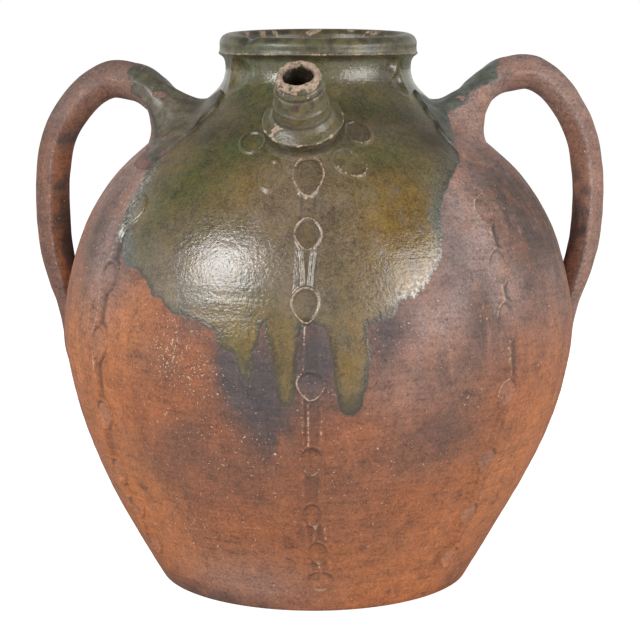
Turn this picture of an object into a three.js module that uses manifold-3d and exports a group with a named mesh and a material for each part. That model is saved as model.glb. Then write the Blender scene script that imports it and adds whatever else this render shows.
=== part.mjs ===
// Earthenware oil jar with two strap handles, a pouring spout and thumb-pressed strips.
// Millimetres, +Z up, spout towards -Y, origin at the centre of the flat foot.

import * as THREE from 'three';
import { mergeVertices } from 'three/addons/utils/BufferGeometryUtils.js';
import Module from 'manifold-3d';

const wasm = await Module();
wasm.setup();

// Vessel: three stages of wall and a neck, with hair-thin gaps at the seams.
const FOOT_RADIUS = 119;
const FOOT_EDGE = [122.8, 0.8];
const FOOT_EDGE_RISE = 3.4;
const FLOOR_THICKNESS = 14;
const FLOOR_RADIUS = 96;
const FLOOR_COVE = [116, 19];
const WALL = 9.5;
const SEAM_GAP = 0.3;
const LOWER_SEAM = 118;
const UPPER_SEAM = 252;
const NECK_SEAM = 385;
const FACETS = 48;

// The belly and everything above it stand this far to +X of the foot.
const FOOT_OFFSET = 3.2;
const FOOT_OFFSET_FROM = 30;
const FOOT_OFFSET_TO = 165;

// Outer face of the wall from the foot's edge to the throat, as [radius, height].
const WALL_OUTLINE = [
  [124.2, 3],
  [144.9, 40],
  [166.1, 80],
  [183, 120],
  [194.7, 160],
  [200.3, 200],
  [194.8, 240],
  [182.1, 280],
  [160.5, 315],
  [134.4, 340],
  [108.2, 360],
  [86.8, 376],
  [75.2, 388],
  [72, 398],
];

// Throat, moulded band and lip, outside upwards and inside downwards, as [radius, height].
const RIM_OUTLINE = [
  [72.1, 402],
  [73.2, 406.5],
  [76, 410.5],
  [77.3, 415],
  [76.6, 420],
  [74, 424],
  [69.5, 426.5],
  [65.4, 425],
  [63, 420],
  [61.6, 408],
  [61.4, 399],
];

// The lip is lower at the front and higher at the back by this much.
const RIM_TILT = 3;
const RIM_TILT_FROM = 410;
const RIM_TILT_TO = 424;

// Spout: turned tube and collar, square to the shoulder but for a slight lean.
// The outline is [radius, distance from the collar's edge along the spout].
const SPOUT_ANGLE = THREE.MathUtils.degToRad(-5.5);
const SPOUT_HEIGHT = 358;
const SPOUT_LEAN = THREE.MathUtils.degToRad(1.5);
const COLLAR_STAND = 9;
const SPOUT_FACETS = 28;
const BORE_RADIUS = 11;
const HOLE_RADIUS = 11.5;
const HOLE_LENGTH = 60;
const SPOUT_OUTLINE = [
  [BORE_RADIUS, -24],
  [21.5, -24],
  [22, -5],
  [28.4, -1.6],
  [29.7, 0.4],
  [28.6, 1.4],
  [23.6, 4.4],
  [21.4, 7.6],
  [20.7, 9],
  [19.8, 16.4],
  [20.2, 17.6],
  [18.8, 19],
  [18.1, 29.2],
  [17, 30.5],
  [17.8, 32],
  [17.5, 34.4],
  [16.4, 35.8],
  [16.9, 37.3],
  [16.2, 41],
  [14.2, 43],
  [12, 42],
  [BORE_RADIUS, 38.6],
];

// Luting pad round the spout: lobes where the thumb dragged the clay outwards.
const PAD_INNER = 24.5;
const PAD_OUTER = 33;
const PAD_THICKNESS = 3.6;
const PAD_EDGE = 0.8;
const PAD_SINK = 2;
const PAD_SPOKES = 56;
const LOBE_HALF_WIDTH = 11;
const LOBE_DENT = 2;
const LOBES = [
  { bearing: 88, reach: 47 },
  { bearing: 44, reach: 64 },
  { bearing: -24, reach: 60 },
  { bearing: -74, reach: 47 },
];

// Thumb-pressed strips: angle round the jar from the front, and the heights of the presses.
const STRIP_HALF_WIDTH = 9.5;
const STRIP_SPREAD = 4;
const STRIP_FOOT = 12;
const STRIP_THICKNESS = 4;
const STRIP_EDGE = 0.6;
const STRIP_END_TAPER = 16;
const PRESS_HALF_WIDTH = 8.5;
const PRESS_HALF_LENGTH = 10.5;
const PRESS_DEPTH = 3.2;
const STRIPS = [
  {
    name: 'front_strip', topAngle: -3, footAngle: 1.5, top: 334,
    presses: [325, 290, 243, 188, 132, 88.5, 56.5, 29.5],
  },
  {
    name: 'right_strip', topAngle: 43, footAngle: 44, top: 322,
    presses: [300, 262, 224, 171, 121, 76, 38],
  },
  {
    name: 'left_strip', topAngle: -51.5, footAngle: -57, top: 322,
    presses: [299, 252, 203.5, 149, 103, 74, 43],
  },
  {
    name: 'back_right_strip', topAngle: 132, footAngle: 134, top: 322,
    presses: [305, 260, 211, 160, 112, 70, 36],
  },
  {
    name: 'back_strip', topAngle: 178, footAngle: 180, top: 334,
    presses: [318, 274, 226, 174, 122, 80, 42],
  },
  {
    name: 'back_left_strip', topAngle: -130, footAngle: -133, top: 322,
    presses: [302, 256, 206, 156, 108, 66, 35],
  },
];

// Strap handle stations from the shoulder root to the tip of the tail:
// distance from the jar's axis, height, thickness away from the jar and width along it.
const HANDLE_STATIONS = [
  { reach: 98, height: 350, thick: 52, wide: 66 },
  { reach: 112, height: 366, thick: 41, wide: 56 },
  { reach: 126, height: 381, thick: 32.5, wide: 46 },
  { reach: 143, height: 391, thick: 29.6, wide: 42 },
  { reach: 160, height: 391, thick: 29, wide: 41 },
  { reach: 177, height: 382.5, thick: 27.4, wide: 40 },
  { reach: 192, height: 366, thick: 26.6, wide: 40 },
  { reach: 203, height: 345, thick: 26.4, wide: 39 },
  { reach: 208, height: 318, thick: 26.3, wide: 38 },
  { reach: 208.6, height: 290, thick: 26, wide: 37 },
  { reach: 207.4, height: 265, thick: 25.5, wide: 37 },
  { reach: 203, height: 241, thick: 24, wide: 37 },
  { reach: 198, height: 219, thick: 20, wide: 35 },
  { reach: 196.4, height: 197, thick: 13.5, wide: 30 },
  { reach: 196, height: 176, thick: 9.6, wide: 22 },
  { reach: 194, height: 164, thick: 6, wide: 14 },
];
const HANDLE_SIDES = 16;
const HANDLE_STEPS = 27;
const HANDLES = [
  { name: 'left_handle', side: -1, rise: 0, out: 0, thinning: 1 },
  { name: 'right_handle', side: 1, rise: 5.8, out: 3.4, thinning: 0.92 },
];
const HANDLE_RISE_FROM = 335;
const HANDLE_RISE_TO = 392;
const HANDLE_OUT_FROM = 200;
const HANDLE_OUT_TO = 300;

const CLAY = { color: '#a9663f', roughness: 0.85, metalness: 0 };
const DARK_CLAY = { color: '#7d523f', roughness: 0.8, metalness: 0 };
const GLAZE = { color: '#5e563a', roughness: 0.3, metalness: 0 };

const jar = new THREE.Group();
const { degToRad, lerp, smoothstep } = THREE.MathUtils;

// Radius of the wall's outer face at a height, from the smooth outline.
const OUTLINE_STEPS = 520;
const wallOutline = new THREE.SplineCurve(WALL_OUTLINE.map(([r, z]) => new THREE.Vector2(r, z)))
  .getPoints(OUTLINE_STEPS);

function radiusAt(z) {
  const found = wallOutline.findIndex((point) => point.y >= z);
  const next = found < 0 ? OUTLINE_STEPS : Math.max(found, 1);
  const [a, b] = [wallOutline[next - 1], wallOutline[next]];
  return lerp(a.x, b.x, (z - a.y) / (b.y - a.y));
}

// Point of the outline moved off the wall's outer face along its normal.
function outlinePoint(z, stand) {
  const slope = (radiusAt(z + 1) - radiusAt(z - 1)) / 2;
  const length = Math.hypot(1, slope);
  return new THREE.Vector2(radiusAt(z) + stand / length, z - (stand * slope) / length);
}

// The same in space, at an angle round the jar from the front.
function wallPoint(angle, z, stand) {
  const { x: radius, y: height } = outlinePoint(z, stand);
  return new THREE.Vector3(radius * Math.sin(angle), -radius * Math.cos(angle), height);
}

// Height on the wall after walking a distance down it from a starting height.
function heightBelow(start, distance) {
  const steps = Math.ceil(Math.abs(distance)) + 1;
  let z = start;
  for (let i = 0; i < steps; i += 1) {
    const slope = (radiusAt(z + 1) - radiusAt(z - 1)) / 2;
    z -= distance / steps / Math.hypot(1, slope);
  }
  return z;
}

function revolve(points, facets) {
  const geometry = new THREE.LatheGeometry(points, facets);
  geometry.rotateX(Math.PI / 2);
  return geometry;
}

// Skin over a row of closed sections, capped at both ends or joined into a ring.
function loft(sections, ring = false) {
  const count = sections[0].length;
  const positions = sections.flat().flatMap((point) => point.toArray());
  const triangles = [];
  const spans = ring ? sections.length : sections.length - 1;
  for (let i = 0; i < spans; i += 1) {
    const here = i * count;
    const there = ((i + 1) % sections.length) * count;
    for (let j = 0; j < count; j += 1) {
      const k = (j + 1) % count;
      triangles.push(here + j, here + k, there + j, there + j, here + k, there + k);
    }
  }
  if (!ring) {
    for (const [index, flip] of [[0, false], [sections.length - 1, true]]) {
      const centre = new THREE.Vector3();
      sections[index].forEach((point) => centre.addScaledVector(point, 1 / count));
      const hub = positions.length / 3;
      positions.push(...centre.toArray());
      for (let j = 0; j < count; j += 1) {
        const a = index * count + j;
        const b = index * count + ((j + 1) % count);
        triangles.push(...(flip ? [hub, a, b] : [hub, b, a]));
      }
    }
  }
  const geometry = new THREE.BufferGeometry();
  geometry.setAttribute('position', new THREE.Float32BufferAttribute(positions, 3));
  geometry.setIndex(triangles);
  return geometry;
}

function toManifold(geometry) {
  geometry.deleteAttribute('normal');
  geometry.deleteAttribute('uv');
  const merged = mergeVertices(geometry);
  const index = merged.index.array;
  const triangles = [];
  for (let i = 0; i < index.length; i += 3) {
    const [a, b, c] = index.slice(i, i + 3);
    if (a !== b && b !== c && c !== a) triangles.push(a, b, c);
  }
  return new wasm.Manifold(new wasm.Mesh({
    numProp: 3,
    vertProperties: new Float32Array(merged.attributes.position.array),
    triVerts: new Uint32Array(triangles),
  }));
}

function fromManifold(solid) {
  const mesh = solid.getMesh();
  const geometry = new THREE.BufferGeometry();
  geometry.setAttribute('position', new THREE.Float32BufferAttribute(mesh.vertProperties, 3));
  geometry.setIndex([...mesh.triVerts]);
  return geometry;
}

// Everything above the foot stands a little to one side of it.
function settle(geometry) {
  const position = geometry.attributes.position;
  for (let i = 0; i < position.count; i += 1) {
    const shift = FOOT_OFFSET * smoothstep(position.getZ(i), FOOT_OFFSET_FROM, FOOT_OFFSET_TO);
    position.setX(i, position.getX(i) + shift);
  }
}

function add(name, geometry, finish) {
  settle(geometry);
  const mesh = new THREE.Mesh(geometry, new THREE.MeshStandardMaterial(finish));
  mesh.name = name;
  jar.add(mesh);
}

// Heights of the rows of one stage of the wall, short of its seams by half the gap.
function stageRows(low, high, rows) {
  const heights = [];
  for (let i = 0; i <= rows; i += 1) {
    heights.push(lerp(low + SEAM_GAP / 2, high - SEAM_GAP / 2, i / rows));
  }
  return heights;
}

// Closed outline of a stage: up its outer face and down its inner one, a wall's thickness apart.
function stageOutline(heights) {
  const outer = heights.map((z) => outlinePoint(z, 0));
  const inner = heights.map((z) => outlinePoint(z, -WALL)).reverse();
  return [...outer, ...inner, outer[0]];
}

// Lower body: floor disc, slightly rounded foot and the first stage of the wall.
const lowerRows = stageRows(FOOT_EDGE_RISE, LOWER_SEAM, 4);
const lowerOuter = lowerRows.map((z) => outlinePoint(z, 0));
const lowerInner = lowerRows.slice(1).map((z) => outlinePoint(z, -WALL)).reverse();
add('lower_body', revolve([
  new THREE.Vector2(0, 0),
  new THREE.Vector2(FOOT_RADIUS, 0),
  new THREE.Vector2(...FOOT_EDGE),
  ...lowerOuter,
  ...lowerInner,
  new THREE.Vector2(...FLOOR_COVE),
  new THREE.Vector2(FLOOR_RADIUS, FLOOR_THICKNESS),
  new THREE.Vector2(0, FLOOR_THICKNESS),
], FACETS), CLAY);

// Belly: the widest stage.
const bellyRows = stageRows(LOWER_SEAM, UPPER_SEAM, 5);
add('belly_wall', revolve(stageOutline(bellyRows), FACETS), DARK_CLAY);

// Spout axis: square to the wall, leaning a little to the left.
const spoutSeat = wallPoint(SPOUT_ANGLE, SPOUT_HEIGHT, 0);
const spoutAxis = wallPoint(SPOUT_ANGLE, SPOUT_HEIGHT, 1).sub(spoutSeat)
  .applyAxisAngle(new THREE.Vector3(0, 1, 0), -SPOUT_LEAN);
const spoutTurn = new THREE.Quaternion().setFromUnitVectors(new THREE.Vector3(0, 0, 1), spoutAxis);

// Shoulder: the dome, with the hole under the spout.
const shoulderRows = stageRows(UPPER_SEAM, NECK_SEAM, 9);
const hole = new THREE.CylinderGeometry(HOLE_RADIUS, HOLE_RADIUS, HOLE_LENGTH, SPOUT_FACETS);
hole.rotateX(Math.PI / 2);
hole.applyQuaternion(spoutTurn);
hole.translate(...spoutSeat.toArray());
const dome = toManifold(revolve(stageOutline(shoulderRows), FACETS));
add('shoulder', fromManifold(dome.subtract(toManifold(hole))), GLAZE);

// Neck and rim: a hollow throat under a moulded band, its lip lower at the front than at the back.
const throatRows = stageRows(NECK_SEAM, WALL_OUTLINE.at(-1)[1], 2);
const throat = throatRows.map((z) => outlinePoint(z, 0));
const neckFootInner = outlinePoint(throatRows[0], -WALL);
const rim = RIM_OUTLINE.map(([r, z]) => new THREE.Vector2(r, z));
const neck = revolve([...throat, ...rim, neckFootInner, throat[0]], FACETS);
const neckPosition = neck.attributes.position;
for (let i = 0; i < neckPosition.count; i += 1) {
  const z = neckPosition.getZ(i);
  const back = neckPosition.getY(i) / RIM_OUTLINE[0][0];
  neckPosition.setZ(i, z + RIM_TILT * back * smoothstep(z, RIM_TILT_FROM, RIM_TILT_TO));
}
add('neck_and_rim', neck, GLAZE);

// The vessel as one plug, grown by the gap: cuts the pieces that are luted on to it.
const plugOutline = [...lowerRows, ...bellyRows, ...shoulderRows, ...throatRows]
  .map((z) => outlinePoint(z, SEAM_GAP));
const plug = toManifold(revolve([
  new THREE.Vector2(0, plugOutline[0].y),
  ...plugOutline,
  new THREE.Vector2(0, plugOutline.at(-1).y),
], FACETS));

// Spout, seated on the shoulder.
const spoutBlank = revolve(
  [...SPOUT_OUTLINE, SPOUT_OUTLINE[0]].map(([r, along]) => new THREE.Vector2(r, along + COLLAR_STAND)),
  SPOUT_FACETS,
);
spoutBlank.applyQuaternion(spoutTurn);
spoutBlank.translate(...spoutSeat.toArray());
add('spout', fromManifold(toManifold(spoutBlank).subtract(plug)), GLAZE);

// Luting pad: each spoke is a section from the spout's root out to the thumbed edge.
const padSections = [];
const PAD_FRACTIONS = [0, 0.3, 0.6, 0.85, 1];
for (let i = 0; i < PAD_SPOKES; i += 1) {
  const bearing = (i / PAD_SPOKES) * 2 * Math.PI;
  let lobe = 0;
  let reach = PAD_OUTER;
  for (const { bearing: lobeBearing, reach: lobeReach } of LOBES) {
    const turn = bearing - degToRad(lobeBearing);
    const off = lobeReach * Math.atan2(Math.sin(turn), Math.cos(turn));
    const share = Math.exp(-((off / LOBE_HALF_WIDTH) ** 4));
    lobe = Math.max(lobe, share);
    reach = Math.max(reach, lerp(PAD_OUTER, lobeReach, share));
  }
  const spoke = (fraction, stand) => {
    const out = lerp(PAD_INNER, reach, fraction);
    const z = heightBelow(SPOUT_HEIGHT, out * Math.cos(bearing));
    const angle = SPOUT_ANGLE + (out * Math.sin(bearing)) / radiusAt(z);
    return wallPoint(angle, z, SEAM_GAP + stand);
  };
  const front = PAD_FRACTIONS.map((fraction) => {
    const dent = LOBE_DENT * lobe * Math.sin(Math.PI * fraction) ** 2;
    return spoke(fraction, Math.max(PAD_EDGE, lerp(PAD_THICKNESS, PAD_EDGE, fraction ** 2) - dent));
  });
  const back = [1, 0.5, 0].map((fraction) => spoke(fraction, -PAD_SINK));
  padSections.push([...front, ...back]);
}
add('spout_luting', fromManifold(toManifold(loft(padSections, true)).subtract(plug)), GLAZE);

// Handles: pulled straps, oval in section, cut to the wall where they are luted on.
function makeHandle({ side, rise, out, thinning }) {
  const stations = HANDLE_STATIONS.map(({ reach, height }) => new THREE.Vector3(
    side * (reach + out * smoothstep(height, HANDLE_OUT_FROM, HANDLE_OUT_TO)),
    0,
    height + rise * smoothstep(height, HANDLE_RISE_FROM, HANDLE_RISE_TO),
  ));
  const sizes = HANDLE_STATIONS.map(({ thick, wide }) => new THREE.Vector2(thick * thinning, wide));
  const path = new THREE.CatmullRomCurve3(stations);
  const sizeCurve = new THREE.SplineCurve(sizes);
  const across = new THREE.Vector3(0, 1, 0);
  const sections = [];
  for (let i = 0; i <= HANDLE_STEPS; i += 1) {
    const t = i / HANDLE_STEPS;
    const centre = path.getPoint(t);
    const outward = path.getTangent(t).cross(across).normalize();
    const { x: thick, y: wide } = sizeCurve.getPoint(t);
    const section = [];
    for (let j = 0; j < HANDLE_SIDES; j += 1) {
      const turn = (j / HANDLE_SIDES) * 2 * Math.PI;
      section.push(centre.clone()
        .addScaledVector(outward, (thick / 2) * Math.cos(turn))
        .addScaledVector(across, (wide / 2) * Math.sin(turn)));
    }
    sections.push(section.reverse());
  }
  return loft(sections);
}

for (const handle of HANDLES) {
  add(handle.name, fromManifold(toManifold(makeHandle(handle)).subtract(plug)), DARK_CLAY);
}

// Strips: rolled clay pressed to the wall with the thumb, thick between the presses and at their rims.
const ACROSS = [1, 0.66, 0.33, 0, -0.33, -0.66, -1];
const PRESS_ROWS = [-1.3, -0.8, 0, 0.8, 1.3];
const ROW_LEAST = 2;
const ROW_MOST = 14;

// Heights of the rows along a strip: close together at each press, and never far apart.
function stripRows({ top, presses }) {
  const marked = [top, STRIP_FOOT];
  for (const press of presses) {
    for (const row of PRESS_ROWS) {
      marked.push(heightBelow(press, row * PRESS_HALF_LENGTH));
    }
  }
  const inside = marked.filter((z) => z <= top && z >= STRIP_FOOT).sort((a, b) => b - a);
  const rows = [top];
  for (const z of inside) {
    const drop = rows.at(-1) - z;
    if (drop > ROW_MOST) rows.push(z + drop / 2);
    if (drop > ROW_LEAST) rows.push(z);
  }
  return rows;
}

// How far a point of the strip is pressed in: 1 in the middle of a press, 0 clear of them all.
function pressAt(presses, z, sideways) {
  let deepest = 0;
  for (const height of presses) {
    const slope = (radiusAt(height + 1) - radiusAt(height - 1)) / 2;
    const along = ((z - height) * Math.hypot(1, slope)) / PRESS_HALF_LENGTH;
    const aside = sideways / PRESS_HALF_WIDTH;
    deepest = Math.max(deepest, Math.exp(-((aside ** 2 + along ** 2) ** 2)));
  }
  return deepest;
}

function stripHeight({ top, presses }, z, across, halfWidth) {
  const fromEnd = Math.min(top - z, z - STRIP_FOOT);
  const taper = smoothstep(fromEnd, -STRIP_END_TAPER / 2, STRIP_END_TAPER);
  const crown = lerp(STRIP_EDGE, STRIP_THICKNESS, (1 - across ** 4) * taper);
  return Math.max(STRIP_EDGE, crown - PRESS_DEPTH * pressAt(presses, z, across * halfWidth));
}

for (const strip of STRIPS) {
  const sections = stripRows(strip).map((z) => {
    const along = (strip.top - z) / (strip.top - STRIP_FOOT);
    const middle = degToRad(lerp(strip.topAngle, strip.footAngle, along));
    const halfWidth = STRIP_HALF_WIDTH + STRIP_SPREAD * pressAt(strip.presses, z, 0);
    const halfAngle = halfWidth / radiusAt(z);
    const front = ACROSS.map((across) => wallPoint(
      middle + across * halfAngle,
      z,
      SEAM_GAP + stripHeight(strip, z, across, halfWidth),
    ));
    const back = [-1, 0, 1].map((across) => wallPoint(middle + across * halfAngle, z, SEAM_GAP));
    return [...front, ...back];
  });
  add(strip.name, loft(sections), CLAY);
}

export default jar;
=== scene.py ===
# Earthenware oil jar, half glazed, with two strap handles, a pouring spout and thumb-pressed strips.
# Sizes are in millimetres until a mesh takes them; +Z is up, and the spout faces -Y.

import math

import bmesh
import bpy
import numpy as np
from mathutils import Matrix, Vector, noise


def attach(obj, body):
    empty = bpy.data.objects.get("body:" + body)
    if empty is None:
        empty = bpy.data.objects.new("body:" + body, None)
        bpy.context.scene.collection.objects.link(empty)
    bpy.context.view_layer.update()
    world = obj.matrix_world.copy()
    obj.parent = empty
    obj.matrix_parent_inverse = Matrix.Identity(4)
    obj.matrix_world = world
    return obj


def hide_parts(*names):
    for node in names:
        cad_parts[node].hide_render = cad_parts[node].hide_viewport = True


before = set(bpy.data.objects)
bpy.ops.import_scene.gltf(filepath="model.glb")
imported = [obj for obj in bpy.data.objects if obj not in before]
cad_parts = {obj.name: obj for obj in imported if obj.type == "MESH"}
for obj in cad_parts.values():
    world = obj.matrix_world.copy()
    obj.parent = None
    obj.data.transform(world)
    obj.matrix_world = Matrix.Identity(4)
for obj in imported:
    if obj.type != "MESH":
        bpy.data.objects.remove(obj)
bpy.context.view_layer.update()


# Vessel: floor, wall, neck and moulded rim, thrown in stages from coarse red clay and fired as one body.
# The belly stands a little to the right of its foot, and the lip dips towards the front.
# A hole is cut through the shoulder for the spout.
MM = 0.001
# Without a seed, vector noise would differ from run to run.
LUMP_SEED = 3
# Vertices nearer than this are joined.
MERGE = 0.01
WALL_OUTLINE = [
    (124.2, 3), (144.9, 40), (166.1, 80), (183, 120), (194.7, 160), (200.3, 200), (194.8, 240),
    (182.1, 280), (160.5, 315), (134.4, 340), (108.2, 360), (86.8, 376), (75.2, 388), (72, 398),
]
RIM_OUTLINE = [
    (72.1, 402), (72.8, 405.5), (74.2, 408.2), (76.4, 410), (77.4, 410.8), (77.5, 411.6), (76.8, 412.6),
    (76.6, 415.5), (76.7, 418.5), (76.4, 421), (74.8, 424), (71.5, 426), (68.5, 426.2), (65.4, 424.6),
    (63.2, 420.5), (61.6, 408), (61.4, 399),
]
FOOT_RADIUS, FOOT_STEP = 119, 12
FOOT_EDGE = (122.8, 0.8)
FLOOR = [(118, 24), (112, 17), (96, 14), (60, 14), (0, 14)]
# Colours are looked up between these heights.
WALL_LOW, WALL_TOP = 1, 398
WALL_THICKNESS = 9.5
OUTLINE_STEPS, WALL_STEP = 24, 2.3
RIM_CURVE_STEPS, RIM_STEP = 6, 1.1
INSIDE_TOP, INSIDE_FOOT, INSIDE_ROWS = 386, 26, 55
VESSEL_STEPS = 256
LEAN, LEAN_FROM, LEAN_TO = 3.2, 30, 165
RIM_TILT, TILT_FROM, TILT_TO = 3, 410, 424
# Lumps of the thrown wall: how often they come round the jar, their height and depth.
SWELL = (1.7, 56, 0.55)
FINGER_RINGS = (0.5, 6, 0.2)
# They fade out at the foot and in the middle of the floor.
FOOT_FADE, FLOOR_FADE = (0, 14), (20, 60)
SPOUT_ANGLE, SPOUT_HEIGHT, SPOUT_LEAN = math.radians(-5.5), 358, math.radians(1.5)
# The reach keeps the cut off the far wall.
HOLE_RADIUS, HOLE_REACH = 11.5, 40
# Thumb dents beside the handles at the throat: angle, height, half width, half height and depth.
NECK_DENTS = [(-55, 396, 13, 13, 2.2), (50, 403, 6, 7, 3), (54, 389, 7, 9, 2.2)]
# A dent is flat in its inner half and has a thin raised edge.
DENT_FLAT, DENT_EDGE, DENT_EDGE_AT, DENT_EDGE_HALF = 0.5, 0.7, 1.08, 0.13
# A nick in the lip, above the moulding.
NICK_ANGLE, NICK_WIDTH, NICK_DEPTH, NICK_FROM, NICK_TO = -46, 6, 2.2, 414, 424


def curve(points, steps):
    """Smooth line through a few points."""
    p = np.array([points[0], *points, points[-1]], float)
    rows = []
    for a, b, c, d in zip(p, p[1:], p[2:], p[3:]):
        for t in np.arange(steps) / steps:
            rows.append(b + 0.5 * t * (c - a + t * (2 * a - 5 * b + 4 * c - d + t * (3 * (b - c) + d - a))))
    return np.array([*rows, p[-1]])


def run_of(points):
    """Distance along a line at each of its points."""
    return np.concatenate([[0], np.cumsum(np.linalg.norm(np.diff(points, axis=0), axis=1))])


def paced(points, step):
    """The same line with its points an even step apart."""
    run = run_of(points)
    marks = np.linspace(0, run[-1], max(2, round(run[-1] / step) + 1))
    return np.column_stack([np.interp(marks, run, column) for column in np.asarray(points).T])


def ease(low, high, x):
    """0 below low, 1 above high, and a soft rise between them."""
    t = np.clip((x - low) / (high - low), 0, 1)
    return t * t * (3 - 2 * t)


def bell(x, middle, half_width):
    """1 at the middle and a soft fall to 0 on both sides."""
    return np.exp(-((x - middle) / half_width) ** 2)


noise.seed_set(LUMP_SEED)
outline = curve(WALL_OUTLINE, OUTLINE_STEPS)
outline_run = run_of(outline)


def radius_at(z):
    return np.interp(z, outline[:, 1], outline[:, 0])


def run_at(z):
    return np.interp(z, outline[:, 1], outline_run)


def height_at(run):
    return np.interp(run, outline_run, outline[:, 1])


def lean(z):
    return LEAN * ease(LEAN_FROM, LEAN_TO, z)


def uneven(angle, z):
    """How far the thrown wall swells or sinks, in mm: slow lumps and fine finger rings."""
    total = np.zeros(len(z))
    for often, tall, depth in (SWELL, FINGER_RINGS):
        total += depth * np.array([
            noise.noise((often * math.sin(a), often * math.cos(a), h / tall)) for a, h in zip(angle, z)
        ])
    return total * ease(*FOOT_FADE, z)


def off_outline(z, stand, lumps=0):
    """Radii and heights that stand off the wall's outline."""
    slope = (radius_at(z + 1) - radius_at(z - 1)) / 2
    length = np.hypot(1, slope)
    return radius_at(z) + lumps + stand / length, z - stand * slope / length


def wall(angle, z, stand):
    """Points that stand off the wall's outer face, at angles round the jar from the front."""
    radius, height = off_outline(z, stand, uneven(angle, z))
    return np.column_stack([radius * np.sin(angle) + lean(height), -radius * np.cos(angle), height])


def coords(bm):
    """A mesh's vertices as rows of millimetres."""
    return np.array([v.co for v in bm.verts]) / MM


def place(bm, points):
    """Puts a mesh's vertices where the rows of millimetres say."""
    for v, point in zip(bm.verts, points):
        v.co = Vector(point) * MM


def ripple(points, size, kind=noise.noise):
    """Noise at each point, in patches of a size in mm."""
    return np.array([kind(p / size) for p in points])


def sew(bm):
    """Joins vertices that meet, and turns all faces outwards."""
    bmesh.ops.remove_doubles(bm, verts=bm.verts, dist=MERGE * MM)
    bmesh.ops.recalc_face_normals(bm, faces=bm.faces)


def turned(section, steps, closed=False):
    """A mesh turned round the upright axis from a line of radii and heights."""
    bm = bmesh.new()
    line = [bm.verts.new((r * MM, 0, z * MM)) for r, z in section]
    edges = [bm.edges.new(pair) for pair in zip(line, line[1:] + line[:closed])]
    bmesh.ops.spin(
        bm, geom=line + edges, cent=(0, 0, 0), axis=(0, 0, 1), angle=2 * math.pi, steps=steps, use_merge=True,
    )
    return bm


inside = off_outline(np.linspace(INSIDE_TOP, INSIDE_FOOT, INSIDE_ROWS), -WALL_THICKNESS)
section = [
    *paced([(0, 0), (FOOT_RADIUS, 0)], FOOT_STEP),
    FOOT_EDGE,
    *paced(outline, WALL_STEP),
    *paced(curve(RIM_OUTLINE, RIM_CURVE_STEPS), RIM_STEP),
    *zip(*inside),
    *FLOOR,
]
bm = turned(section, VESSEL_STEPS)
sew(bm)
x, y, z = coords(bm).T
angle, radius = np.arctan2(x, -y), np.hypot(x, y)
radius = radius + uneven(angle, z) * ease(*FLOOR_FADE, radius)
for dent_angle, dent_height, half_width, half_height, depth in NECK_DENTS:
    off = (angle - math.radians(dent_angle)) * radius
    away = np.hypot(off / half_width, (z - dent_height) / half_height)
    radius = radius - depth * (1 - ease(DENT_FLAT, 1, away))
    radius = radius + DENT_EDGE * bell(away, DENT_EDGE_AT, DENT_EDGE_HALF)
off = (angle - math.radians(NICK_ANGLE)) * radius
chip = NICK_DEPTH * bell(off, 0, NICK_WIDTH) * ease(NICK_FROM, NICK_TO, z)
tilt = RIM_TILT * (-np.cos(angle)) * ease(TILT_FROM, TILT_TO, z)
place(bm, np.column_stack([
    radius * np.sin(angle) + lean(z), -radius * np.cos(angle), z + tilt - chip,
]))

seat, above = (Vector(wall(np.array([SPOUT_ANGLE]), np.array([SPOUT_HEIGHT]), s)[0]) for s in (0, 1))
spout_axis = (Matrix.Rotation(-SPOUT_LEAN, 3, "Y") @ (above - seat)).normalized()


def from_axis(point):
    """A point's offset from the spout's axis, in mm."""
    arm = Vector(point) - seat
    return arm - arm.dot(spout_axis) * spout_axis


holed = [
    f for f in bm.faces
    if (f.calc_center_median() / MM - seat).length < HOLE_REACH
    and from_axis(f.calc_center_median() / MM).length < HOLE_RADIUS
]
bmesh.ops.delete(bm, geom=holed, context="FACES")
hole_edges = [e for e in bm.edges if e.is_boundary]
for v in {v for e in hole_edges for v in e.verts}:
    arm = from_axis(v.co / MM)
    v.co += arm * (HOLE_RADIUS / arm.length - 1) * MM
bmesh.ops.bridge_loops(bm, edges=hole_edges)
bmesh.ops.recalc_face_normals(bm, faces=bm.faces)

# Lower border of the glaze round the jar, as angle from the front and height: it was poured over the
# shoulder and ran down in tongues, and it stops short under both handles.
GLAZE_BORDER = [
    (-180, 236), (-172, 224), (-167, 196), (-162, 222), (-152, 246), (-144, 238), (-137, 262), (-128, 290),
    (-118, 322), (-108, 344), (-90, 354), (-72, 346), (-62, 339), (-58.5, 332), (-57, 322), (-54.5, 311),
    (-55, 298), (-52.5, 283), (-47.6, 261), (-43.7, 260), (-40.4, 254.5), (-37.6, 244), (-34.4, 241),
    (-31.7, 233), (-28.9, 232), (-23.8, 226.5), (-21.5, 224), (-20.8, 214.5), (-17, 207), (-15.6, 189),
    (-14.6, 180), (-13.6, 192), (-12.6, 212), (-11.3, 231), (-10, 212), (-9.2, 194), (-8.4, 179), (-7.3, 172),
    (-5.6, 172.5), (-4.7, 180), (-4.3, 196), (-3.8, 226), (-1.5, 232), (1.6, 226), (2.5, 206), (3.2, 184),
    (3.8, 172), (4.9, 166), (7.6, 166.5), (8.8, 174), (9.4, 188), (10.4, 208), (9.7, 219), (10.2, 230),
    (14.5, 234), (17.3, 244), (21.9, 251), (25.2, 261), (27.1, 270), (28.4, 281), (30.1, 301), (33.7, 314),
    (40.8, 327), (47.8, 334.5), (51.1, 344), (56, 356), (72, 358), (90, 356), (108, 348), (118, 326),
    (126, 288), (136, 262), (143, 240), (149, 210), (154, 236), (163, 250), (171, 240), (180, 236),
]
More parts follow.
